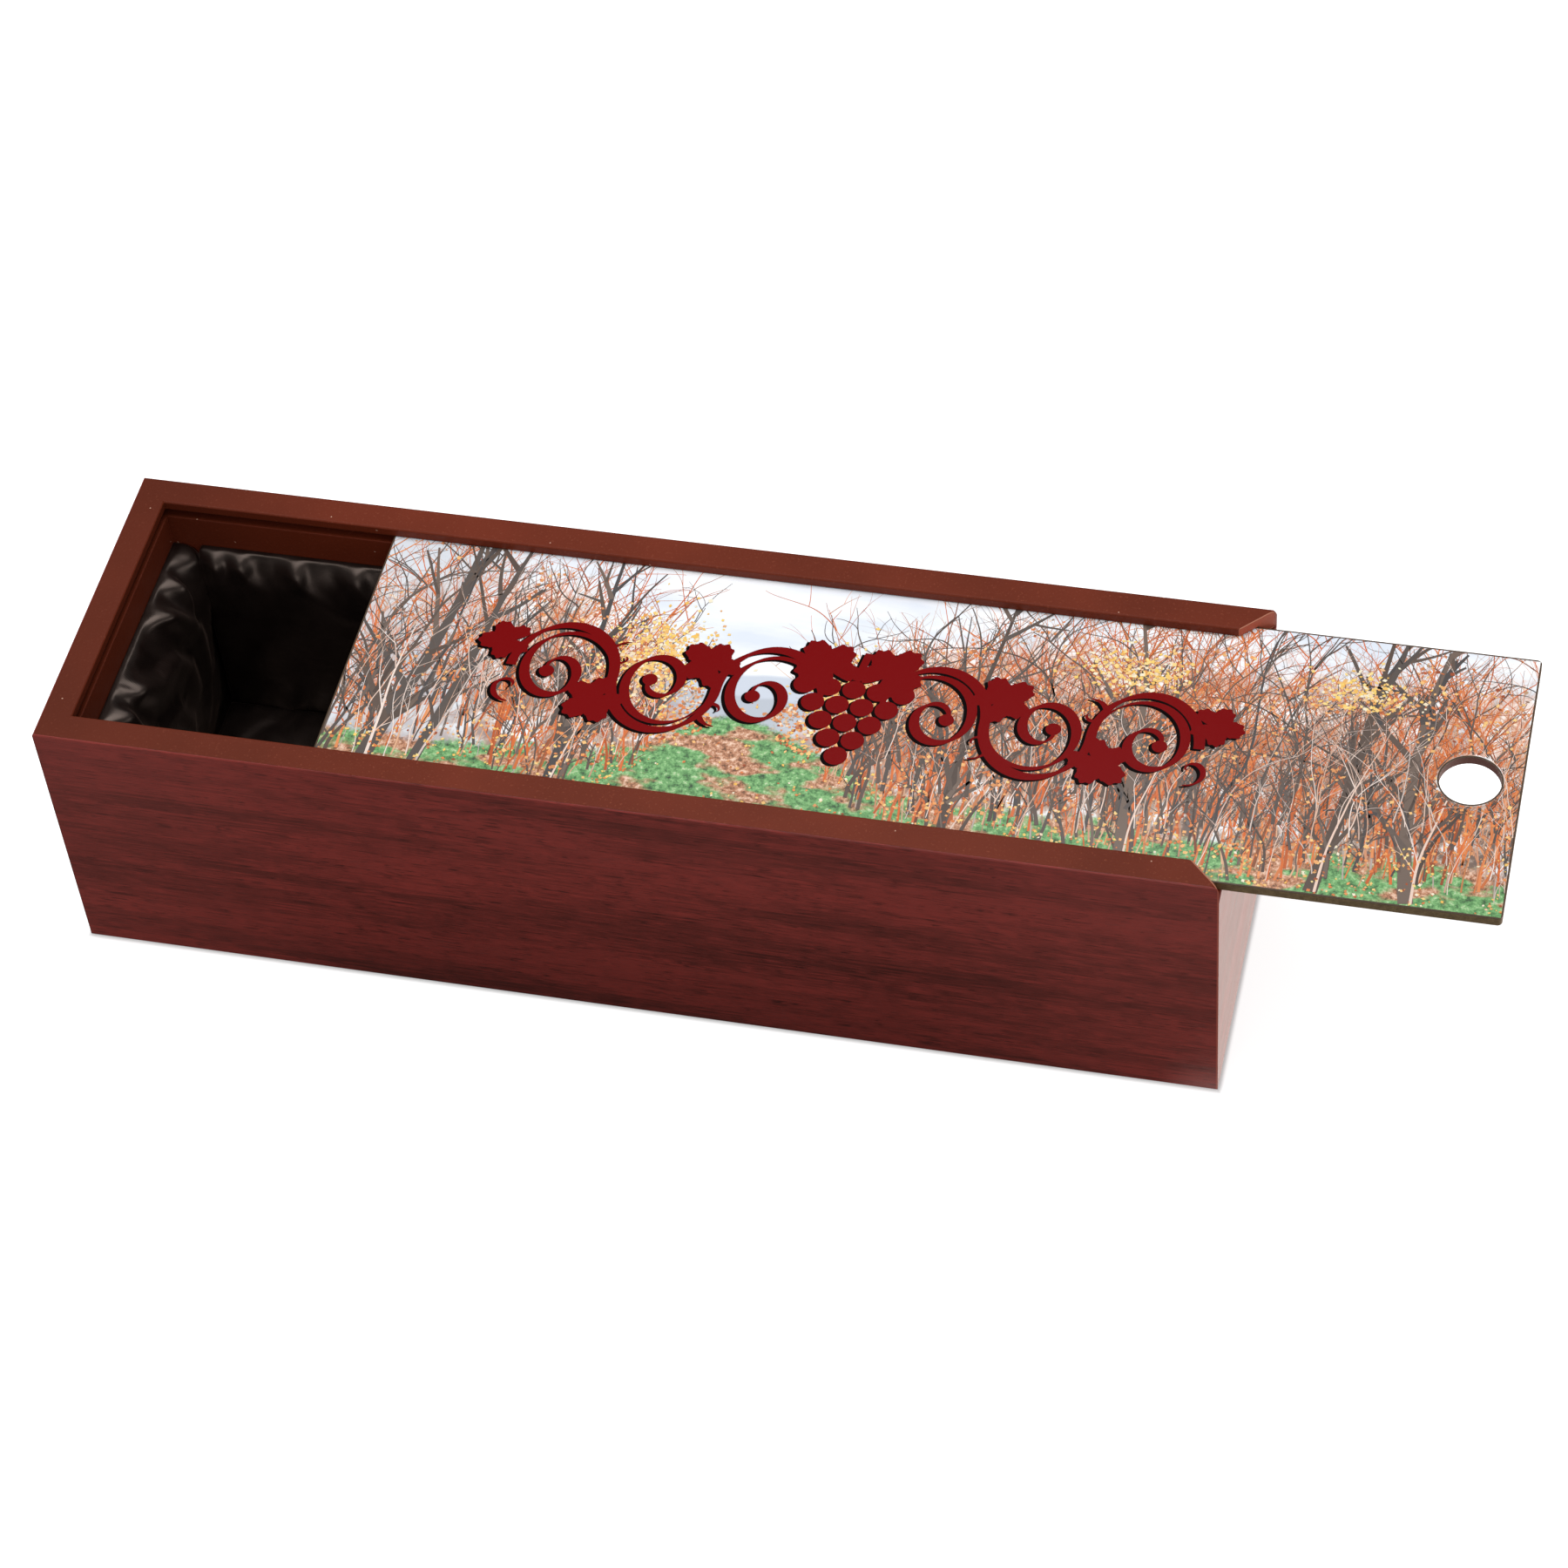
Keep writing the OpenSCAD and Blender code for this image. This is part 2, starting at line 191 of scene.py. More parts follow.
def make_world():
    """White to the camera, dim in reflections, and a soft even fill otherwise."""
    world = bpy.data.worlds.new("studio")
    world.use_nodes = True
    tree = Tree(world.node_tree)
    strength = tree.ray("Glossy") * (SKY_GLOSS - SKY_STRENGTH) + SKY_STRENGTH
    seen = tree.math("MAXIMUM", tree.ray("Camera"), strength)
    sky = tree.result(tree.node("Background", Color=WHITE, Strength=seen))
    tree.node("OutputWorld", Surface=sky)
    bpy.context.scene.world = world


def floor_material():
    """Matt and pale, lifted to white for the camera, with a painted contact shadow along the box's
    foot, and in reflections dark but for the card.
    """
    material = bpy.data.materials.new("floor")
    material.use_nodes = True
    tree = Tree(material.node_tree)
    x, y, _ = tree.parts(tree.point())
    # painted shadow: the glow is lowered in a thin band along the box's foot
    outside = tree.math("MAXIMUM", abs(y) + cad_low.y, abs(x) - BOX_LENGTH / 2)
    lifted = FLOOR_LIFT - tree.between(outside, CONTACT_WIDTH, 0.0) * CONTACT_SHADE
    matt = tree.result(tree.node("BsdfDiffuse", Color=FLOOR_COLOUR))
    lift = tree.result(tree.node("Emission", Strength=tree.ray("Camera") * lifted))
    lit = tree.result(tree.node("AddShader"), matt, lift)
    open_end = cad_low.x + BOX_LENGTH
    beyond_end = tree.between(x, open_end - CARD_FADE[0], open_end)
    not_in_front = tree.between(y, cad_low.y - CARD_FADE[1], cad_low.y)
    gloss = beyond_end * not_in_front * (CARD_GLOSS - FLOOR_GLOSS) + FLOOR_GLOSS
    mirrored = tree.result(tree.node("Emission", Color=CARD_COLOUR, Strength=gloss))
    either = tree.result(tree.node("MixShader"), tree.ray("Glossy"), lit, mirrored)
    tree.node("OutputMaterial", Surface=either)
    return material


def make_floor():
    """A pale floor that reads as white and keeps the object's shadow."""
    mesh = bpy.data.meshes.new("floor")
    corners = [(x * FLOOR_HALF, y * FLOOR_HALF, 0) for x, y in SQUARE]
    mesh.from_pydata(corners, [], [(0, 1, 2, 3)])
    mesh.materials.append(floor_material())
    floor = bpy.data.objects.new("floor", mesh)
    bpy.context.scene.collection.objects.link(floor)


bpy.context.scene.view_settings.view_transform = "Standard"
make_world()
make_floor()

# ---- materials


def tone(red, green, blue):
    """A colour as it looks on a screen, 0 to 255, in the linear values that shaders take."""
    return tuple((part / 255) ** 2.2 for part in (red, green, blue)) + (1.0,)


class Surface(Tree):
    """One material. Its methods add a node each and return that node's result."""

    def __init__(self, name, **constants):
        self.material = bpy.data.materials.new(name)
        self.material.use_nodes = True
        super().__init__(self.material.node_tree)
        self.shader = self.node("BsdfPrincipled", **constants)
        self.node("OutputMaterial", Surface=self.result(self.shader))
        self.place = self.math("MULTIPLY", self.point(), (1 / MM,) * 3, kind="VectorMath")  # in mm

    def place_from(self, origin):
        """The three parts of the place, in mm from another one."""
        return self.parts(self.math("SUBTRACT", self.place, tuple(origin), kind="VectorMath"))

    def join(self, x=0.0, y=0.0, z=0.0):
        return self.result(self.node("CombineXYZ"), x, y, z)

    def noise(self, vector, scale=1.0, detail=2.0, roughness=0.5, distortion=0.0):
        node = self.node(
            "TexNoise", Scale=scale, Detail=detail, Roughness=roughness, Distortion=distortion
        )
        return self.result(node, vector, output="Fac")

    def scattered(self, vector, scale):
        """Distance to the nearest of points that are scattered on a plane."""
        node = self.node("TexVoronoi", Scale=scale)
        node.voronoi_dimensions = "2D"
        return self.result(node, vector, output="Distance")

    def ramp(self, value, *stops):
        """A colour for a value, from stops of (value, red, green, blue)."""
        node = self.node("ValToRGB")
        elements = node.color_ramp.elements
        while len(elements) < len(stops):
            elements.new(1.0)
        for element, (position, *colour) in zip(elements, stops):
            element.position = position
            element.color = tone(*colour)
        return self.result(node, value)

    def mix(self, factor, first, second):
        node = self.node("Mix")
        node.data_type = "RGBA"
        for index, value in ((0, factor), (6, first), (7, second)):
            self.feed(node.inputs[index], value)
        return self.result(node, output=2)

    def colour(self, value):
        self.feed(self.shader.inputs["Base Color"], value)

    def rough(self, value, low, high):
        """Roughness between two values, by a value from 0 to 1."""
        node = self.node("MapRange", Value=value, To_Min=low, To_Max=high)
        self.feed(self.shader.inputs["Roughness"], self.result(node))

    def relief(self, height, depth, edge_radius=None):
        """Bump of the given depth in mm, over edges that look rounded by edge_radius in metres."""
        bump = self.node("Bump", Distance=depth * MM, Height=height)
        if edge_radius is not None:
            bevel = self.node("Bevel", Radius=edge_radius)
            bevel.samples = 6
            self.feed(bump.inputs["Normal"], self.result(bevel))
        self.feed(self.shader.inputs["Normal"], self.result(bump))


lid_low, lid_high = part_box("lid_print")
LID_MIDDLE = (lid_low + lid_high) / 2 / MM
LID_HALF = (lid_high - lid_low) / 2 / MM
HOLE_INSET = 15.0  # mm from the lid's end to the finger hole's middle
HOLE_RADIUS = 9.0
INK_MARGIN = 0.5  # mm that the inks keep from the lid's edges and its hole


def painted_board():
    """Satin reddish-brown paint, sprayed on fibreboard: fine orange peel and a few pale nicks. It also
    has painted shade towards the closed end, and painted highlights on the bare mitre faces at the open
    end and along the edges of those mitres.
    """
    surface = Surface("painted_board", Specular_IOR_Level=0.13)
    x, y, z = surface.parts(surface.place)
    cloudy = surface.noise(surface.place, 0.03, 3)
    grainy = surface.noise(surface.place, 1.3, 4, 0.6)
    paint = surface.ramp(cloudy, (0.3, 97, 41, 25), (0.7, 110, 47, 30))
    paint = surface.mix(surface.between(grainy, 0.58, 0.72), paint, tone(124, 62, 44))
    # painted shade: the paint darkens towards the closed end
    painted_shade_near_closed_end = surface.between(x, 0.4 * cad_low.x / MM, cad_low.x / MM)
    paint = surface.mix(painted_shade_near_closed_end * 0.5, paint, tone(80, 38, 26))
    away, bare = mitres(surface)
    slant = slanting(surface)
    # painted highlight: the bare mitre faces at the open end are lighter
    paint = surface.mix(bare * slant, paint, tone(176, 92, 72))
    # painted highlight: a pale line along the edges of the bare mitres
    painted_mitre_edge_highlight = bare * (1.0 - surface.math("MAXIMUM", away, slant))
    paint = surface.mix(painted_mitre_edge_highlight * 0.7, paint, tone(190, 128, 104))
    on_face = surface.join(x + z * 0.83, y + z)  # tells points apart on a face of any direction
    nick = surface.scattered(on_face, 0.045) < 0.010
    surface.colour(surface.mix(nick, paint, tone(190, 150, 130)))
    surface.rough(grainy, 0.36, 0.52)
    surface.relief(grainy, 0.05, edge_radius=surface.math("MAXIMUM", away, bare) * (0.5 * MM))
    return surface.material


def mitres(surface):
    """0 within half a millimetre of a mitre and 1 away from it; 1 on the lips that end bare, else 0."""
    x, y, z = surface.parts(surface.place)
    corner = (BOX_LENGTH / 2 + cad_low.y) / MM
    off = abs(abs(x) - abs(y) - corner)
    above_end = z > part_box("open_end")[1].z / MM - 0.1
    return surface.between(off, 0.5, 0.6), above_end * (x > 0.0)


def slanting(surface):
    """1 on upright faces that are turned about 45 degrees, such as a mitre's, and 0 elsewhere."""
    x, y, _ = surface.parts(surface.result(surface.node("NewGeometry"), output="True Normal"))
    return abs(x * y) > 0.3


def rosewood_laminate():
    """Printed rosewood: long streaks along the wall, broad dark bands and short fine pores. Painted
    light on it: shade towards the foot away from the ends, a pale reflection haze near the top and at
    the ends, and a highlight down the corners at the open end.
    """
    surface = Surface("laminate", Specular_IOR_Level=0.22)
    x, y, z = surface.parts(surface.place)
    along = x + y
    sway = surface.noise(surface.join(along * 0.012, z), 1.0, 1)
    up = z + along * 0.05 + sway * 9.0

    def streaks(along_scale, up_scale, detail, seed):
        point = surface.join(along * along_scale, up * up_scale, seed)
        return surface.noise(point, 1.0, detail, 0.55, 0.4)

    bands = streaks(0.004, 0.06, 2, 3.1)
    stripes = streaks(0.012, 0.6, 4, 7.7)
    fibres = streaks(0.10, 1.8, 4, 1.3)
    pores = streaks(0.14, 2.4, 2, 9.4)
    wood = surface.ramp(
        bands * 0.36 + stripes * 0.26 + fibres * 0.38,
        (0.39, 70, 29, 25), (0.45, 94, 37, 32), (0.51, 116, 44, 39), (0.57, 136, 50, 44),
        (0.65, 112, 46, 41),
    )
    wood = surface.mix(surface.between(pores, 0.54, 0.70), wood, tone(66, 26, 23))
    top = cad_high.z / MM
    end = BOX_LENGTH / 2 / MM
    at_ends = surface.between(abs(x), 0.4 * end, end)
    # painted shade: darker towards the foot, except near the ends
    foot = surface.between(z, 0.6 * top, 0.0) * (1.0 - at_ends)
    wood = surface.mix(foot * 0.34, wood, tone(50, 14, 8))
    # painted reflection: a pale haze near the top and at the ends
    haze = surface.between(z, 0.3 * top, top) * 0.12 + 0.02 + at_ends * 0.14
    wood = surface.mix(haze, wood, tone(160, 84, 78))
    # painted highlight: a pale line down the corners at the open end
    painted_corner_highlight = (x > (cad_low.x + BOX_LENGTH) / MM - 0.5) * (abs(y) > -cad_low.y / MM - 0.5)
    surface.colour(surface.mix(painted_corner_highlight * 0.6, wood, tone(176, 92, 74)))
    surface.rough(fibres, 0.26, 0.40)
    surface.relief(pores + fibres, 0.03, edge_radius=0.35 * MM)
    return surface.material


def from_hole(surface):
    """Distance in mm from the middle of the lid's finger hole, seen from above."""
    hole = (LID_MIDDLE.x + LID_HALF.x - HOLE_INSET, LID_MIDDLE.y, 0.0)
    x, y, _ = surface.place_from(hole)
    return surface.math("SQRT", x * x + y * y)


def fibrous_board(name, dark, light, roughness, fibre_scale, hole_tone=None):
    """Pressed fibre: matted specks in two tones, and a third on the wall of the finger hole."""
    surface = Surface(name)
    coarse = surface.noise(surface.place, fibre_scale * 0.25, 3)
    fine = surface.noise(surface.place, fibre_scale, 5, 0.7, 0.6)
    fibres = surface.ramp(coarse * 0.4 + fine * 0.6, (0.35, *dark), (0.65, *light))
    if hole_tone:
        fibres = surface.mix(from_hole(surface) < HOLE_RADIUS + 1, fibres, tone(*hole_tone))
    surface.colour(fibres)
    surface.rough(fine, roughness - 0.08, roughness + 0.08)
    surface.relief(fine, 0.06, edge_radius=0.2 * MM)
    return surface.material


def wadding():
    surface = Surface("wadding", Roughness=0.95)
    tufts = surface.noise(surface.place, 0.5, 6, 0.7, 1.2)
    surface.colour(surface.ramp(tufts, (0.3, 214, 214, 208), (0.7, 244, 244, 240)))
    surface.relief(tufts, 0.6)
    return surface.material


def black_satin():
    """Black satin: smooth and glossy along the folds, with a fine twill and a soft brownish sheen."""
    surface = Surface(
        "satin", Specular_IOR_Level=0.72, Specular_Tint=tone(255, 228, 214),
        Sheen_Weight=0.12, Sheen_Roughness=0.35, Sheen_Tint=tone(190, 160, 146),
    )
    x, y, z = surface.parts(surface.place)
    twill = surface.math("SINE", (x * 2.3 + y * 2.3 + z * 3.1) * 4.0)
    crumple = surface.noise(surface.place, 0.10, 2, 0.45, 0.6)
    surface.colour(surface.ramp(crumple, (0.3, 20, 15, 14), (0.7, 33, 27, 25)))
    surface.rough(crumple, 0.27, 0.40)
    surface.relief(twill * 0.012 + crumple * 0.5, 0.5)
    return surface.material


# The lid's picture is a generic autumn scene: a pale sky, far hills, a thicket of rust-coloured
# twigs and a meadow with fallen leaves. Its middle is the lid's, and its lengths are in mm.
CLEARING = -52.0  # where along the lid the thicket opens on the sky
CLEARING_WIDTH = 40.0
MISTY_END = -128.0  # beyond this the picture is greyer and has fewer twigs and leaves


def thicket_top(x):
    """Height of the thicket's leafy top at a place along the picture."""
    dip = math.exp(-(((x - CLEARING) / CLEARING_WIDTH) ** 2))
    sway = noise.noise(Vector((x / 38, 4.2, 0))) * 16
    return 36 + sway - 50 * dip


def meadow_top(x):
    """Height of the meadow's edge: it rises in the clearing."""
    rise = math.exp(-(((x - CLEARING) / (0.8 * CLEARING_WIDTH)) ** 2))
    return -33 + 24 * rise + noise.noise(Vector((x / 24, 9.7, 0))) * 8


def lid_print():
    """The picture's ground: sky, hills, the thicket's dusk and the meadow's grass."""
    surface = Surface("lid_print", Coat_Weight=0.3, Coat_Roughness=0.12, Specular_IOR_Level=0.3)
    across, up, _ = surface.place_from(LID_MIDDLE)
    flat = surface.join(across, up)
    fine = surface.noise(flat, 0.55, 5, 0.65)
    coarse = surface.noise(flat, 0.10, 5, 0.6)

    def edge(base, rise, width, swing, scale, seed):
        """A height that sways along the picture and rises by so much in the clearing."""
        line = surface.noise(surface.join(across * scale, seed), 1.0, 3)
        away = surface.math("DIVIDE", across - CLEARING, width)
        hump = surface.math("EXPONENT", away * away * -1.0)
        return (line - 0.5) * swing + hump * rise + base

    def below(height, softness, torn=0.0):
        """1 under a height, 0 over it, with a torn edge."""
        return surface.between(up + (fine - 0.5) * torn, height + softness, height - softness)

    clouds = surface.noise(surface.join(across * 0.02, up * 0.07), 1.0, 4)
    scene = surface.ramp(clouds, (0.35, 222, 230, 242), (0.50, 240, 244, 250), (0.64, 253, 254, 255))
    scene = surface.mix(below(edge(6, 0, 1, 14, 0.016, 4.0), 1.0), scene, tone(204, 212, 225))
    scene = surface.mix(below(edge(-2, 0, 1, 12, 0.024, 9.0), 0.8), scene, tone(186, 193, 204))

    bushes = surface.ramp(
        coarse, (0.33, 98, 88, 84), (0.40, 160, 112, 90), (0.46, 222, 152, 112),
        (0.51, 244, 208, 184), (0.57, 254, 252, 252),
    )
    thicket = below(edge(33, -58, CLEARING_WIDTH, 18, 0.02, 21.0), 10, 26)
    scene = surface.mix(thicket * surface.between(coarse, 0.30, 0.46) * 0.8, scene, bushes)
    gloom = below(edge(0, -40, CLEARING_WIDTH, 20, 0.03, 51.0), 14, 20)
    depth = surface.between(across, 10, 90) * 0.35 + 0.5
    gloom = gloom * surface.between(coarse, 0.60, 0.46) * depth
    scene = surface.mix(gloom, scene, tone(98, 90, 84))
    mist = surface.between(across, MISTY_END + 12, MISTY_END - 22) * 0.7
    scene = surface.mix(mist, scene, tone(204, 210, 218))

    grass = surface.ramp(
        surface.noise(flat, 0.42, 6, 0.75),
        (0.36, 62, 82, 62), (0.46, 96, 146, 92), (0.56, 132, 186, 122), (0.68, 214, 222, 188),
    )
    litter = surface.ramp(
        surface.noise(flat, 0.5, 6, 0.75),
        (0.38, 96, 70, 56), (0.50, 190, 132, 100), (0.62, 240, 206, 182),
    )
    bare_earth = surface.noise(surface.join(across * 0.05, up * 0.11), 1.0, 3)
    grass = surface.mix(surface.between(bare_earth, 0.49, 0.57), grass, litter)
    meadow = below(edge(-33, 22, 0.8 * CLEARING_WIDTH, 14, 0.03, 33.0), 1.6, 8)
    scene = surface.mix(meadow, scene, grass)
    to_edge = surface.math("MINIMUM", LID_HALF.x - abs(across), LID_HALF.y - abs(up))
    to_edge = surface.math("MINIMUM", to_edge, from_hole(surface) - HOLE_RADIUS)
    surface.colour(surface.mix(to_edge < INK_MARGIN, scene, tone(78, 62, 48)))
    surface.rough(fine, 0.28, 0.36)
    surface.relief(fine, 0.01, edge_radius=0.15 * MM)
    return surface.material


def ink(name, colours, gloss):
    """Glossy printed ink. Each separate fleck or stroke has its own colour out of the list."""
    surface = Surface(name, Coat_Weight=gloss, Coat_Roughness=0.12, Specular_IOR_Level=gloss)
    chance = surface.result(surface.node("NewGeometry"), output="Random Per Island")
    stops = [((index + 0.5) / len(colours), *colour) for index, colour in enumerate(colours)]
    surface.colour(surface.ramp(chance, *stops) if len(stops) > 1 else tone(*colours[0]))
    mottle = surface.noise(surface.place, 0.9, 4)
    surface.rough(mottle, 0.26, 0.34)
    surface.relief(mottle, 0.01)
    return surface.material


MATERIALS = {
    "painted_board": painted_board(),
    "laminate": rosewood_laminate(),
    "bottom_board": fibrous_board("bottom_board", (104, 78, 56), (146, 112, 84), 0.6, 1.6),
    "greyboard": fibrous_board("greyboard", (128, 124, 118), (164, 160, 152), 0.85, 1.2),
    "hardboard": fibrous_board("hardboard", (84, 68, 42), (126, 104, 70), 0.55, 2.2, (88, 42, 30)),
    "wadding": wadding(),
    "satin": black_satin(),
    "lid_print": lid_print(),
}
for name, node in frame["nodes"].items():
    node.data.materials.clear()
    node.data.materials.append(MATERIALS[NODE_MATERIALS[name]])


def add_mesh(name, points, faces, material, smooth=False):
    mesh = bpy.data.meshes.new(name)
    mesh.from_pydata([tuple(point) for point in points], [], faces)
    mesh.update()
    mesh.materials.append(material)
    for face in mesh.polygons:
        face.use_smooth = smooth
    piece = bpy.data.objects.new(name, mesh)
    bpy.context.scene.collection.objects.link(piece)
    return piece


# ---- the lid's picture and ornament

INK_STEP = 0.016  # mm from one layer of ink to the next
STROKE_STEP = 0.0005  # mm from a stroke to the next in its layer, so that crossings don't merge
STROKE_STEPS = 31
BLOT_CELL = 2.6  # mm; blots nearer than this to each other lie at different heights


def headings(path):
    """The direction of a path at each of its points."""
    last = len(path) - 1
    around = [(path[max(k - 1, 0)], path[min(k + 1, last)]) for k in range(last + 1)]
    return [math.atan2(after[1] - before[1], after[0] - before[0]) for before, after in around]


class Ink:
    """Flat strokes and flecks on the lid, in mm from the picture's middle."""

    def __init__(self, name, layer, colours, gloss=0.3):
        self.name = name
        self.height = LID_MIDDLE.z + LID_HALF.z + INK_STEP * layer
        self.material = ink(name, colours, gloss)
        self.points = []
        self.faces = []
        self.strokes = 0
        self.taken = set()

    def lift(self):
        """Height of the next stroke over the layer's own."""
        self.strokes += 1
        return self.strokes % STROKE_STEPS * STROKE_STEP

    def free_lift(self, x, y):
        """The next height that no blot near the point has."""
        column, row = round(x / BLOT_CELL), round(y / BLOT_CELL)
        for _ in range(STROKE_STEPS):
            lift = self.lift()
            around = {(column + i, row + j, lift) for i in (-1, 0, 1) for j in (-1, 0, 1)}
            if not around & self.taken:
                break
        self.taken.add((column, row, lift))
        return lift

    def blot(self, outline):
        """A filled outline, given anticlockwise."""
        start = len(self.points)
        lift = self.free_lift(*outline[0])
        self.points.extend((x, y, lift) for x, y in outline)
        self.faces.append(tuple(range(start, start + len(outline))))

    def disc(self, x, y, radius, sides=20):
        turns = [2 * math.pi * k / sides for k in range(sides)]
        self.blot([(x + radius * math.cos(turn), y + radius * math.sin(turn)) for turn in turns])

    def stroke(self, path, widths):
        """A ribbon along a path, as wide at each point as widths says."""
        start = len(self.points)
        lift = self.lift()
        for (x, y), along, width in zip(path, headings(path), widths):
            side = (-math.sin(along) * width / 2, math.cos(along) * width / 2)
            self.points.append((x - side[0], y - side[1], lift))
            self.points.append((x + side[0], y + side[1], lift))
        for k in range(start, len(self.points) - 2, 2):
            self.faces.append((k, k + 2, k + 3, k + 1))

    def dry(self):
        """Makes the piece, cut off at the lid's edges and without what falls into its hole."""
        most_x, most_y = LID_HALF.x - INK_MARGIN, LID_HALF.y - INK_MARGIN
        hole_x = LID_HALF.x - HOLE_INSET
        inside = [abs(x) < most_x and abs(y) < most_y for x, y, _ in self.points]
        in_hole = [math.hypot(x - hole_x, y) < HOLE_RADIUS + INK_MARGIN for x, y, _ in self.points]
        kept = [
            face for face in self.faces
            if any(inside[k] for k in face) and not any(in_hole[k] for k in face)
        ]
        used = sorted({k for face in kept for k in face})
        renumbered = {k: index for index, k in enumerate(used)}
        points = []
        for x, y, lift in (self.points[k] for k in used):
            x = min(max(x, -most_x), most_x) + LID_MIDDLE.x
            y = min(max(y, -most_y), most_y) + LID_MIDDLE.y
            points.append((x * MM, y * MM, (lift + self.height) * MM))
        faces = [tuple(renumbered[k] for k in face) for face in kept]
        piece = add_mesh(self.name, points, faces, self.material)
        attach(piece, "lid")


def wander(chance, x, y, heading, length, step, wildness):
    """A path that starts at a point and drifts to and fro as it grows."""
    path = [(x, y)]
    turn = 0.0
    for _ in range(max(2, round(length / step))):
        turn = 0.7 * turn + chance.gauss(0, wildness)
        heading += turn
        x += step * math.cos(heading)
        y += step * math.sin(heading)
        path.append((x, y))
    return path


def tapered(inks, path, width, share):
    """Draws a stroke that loses a share of its width by its end."""
    last = len(path) - 1
    inks.stroke(path, [width * (1 - share * k / last) for k in range(last + 1)])


def stem(chance, inks, x, y, height, width, twigs, wildness):
    """An upright stem with twigs and their side twigs, each thinner than what it grows from."""
    heading = math.radians(chance.gauss(90, 7))
    path = wander(chance, x, y, heading, height, max(1.6, 0.9 * width), wildness)
    tapered(inks, path, width, 0.75)
    last = len(path) - 1
    for _ in range(twigs):
        root = chance.randrange(last // 6, last)
        slant = math.radians(chance.choice((-1, 1)) * chance.uniform(12, 50) + 90)
        length = chance.uniform(0.12, 0.42) * height
        branch = wander(chance, *path[root], slant, length, 1.5, wildness * 1.6)
        broad = width * chance.uniform(0.35, 0.6)
        tapered(inks, branch, broad, 0.7)
        if length > 7:
            middle = branch[(len(branch) - 1) // 2]
            aside = slant + chance.uniform(-0.9, 0.9)
            shoot = wander(chance, *middle, aside, length / 2, 1.2, wildness * 2)
            tapered(inks, shoot, broad * 0.6, 0.6)


def leaf_fleck(chance, inks, x, y, size):
    """A small leaf: a kite that points anywhere."""
    turn = chance.uniform(0, 2 * math.pi)
    across = size * chance.uniform(0.25, 0.5)
    kite = [(-size / 2, 0), (0, -across), (size / 2, 0), (-size * 0.1, across)]
    cosine, sine = math.cos(turn), math.sin(turn)
    inks.blot([(x + u * cosine - v * sine, y + u * sine + v * cosine) for u, v in kite])


TRUNKS = (  # place along the picture, and width
    (-161, 5.4), (-146, 3.8), (-104, 3.2), (14, 2.8), (66, 3.4), (121, 4.2), (148, 4.4),
)
YELLOW_CROWNS = (  # place along and up the picture, width, height, and number of leaves
    (CLEARING - 30, 8, 16, 18, 900), (CLEARING + 27, 4, 12, 14, 600),
    (58, 26, 18, 9, 380), (126, 28, 14, 8, 260),
)


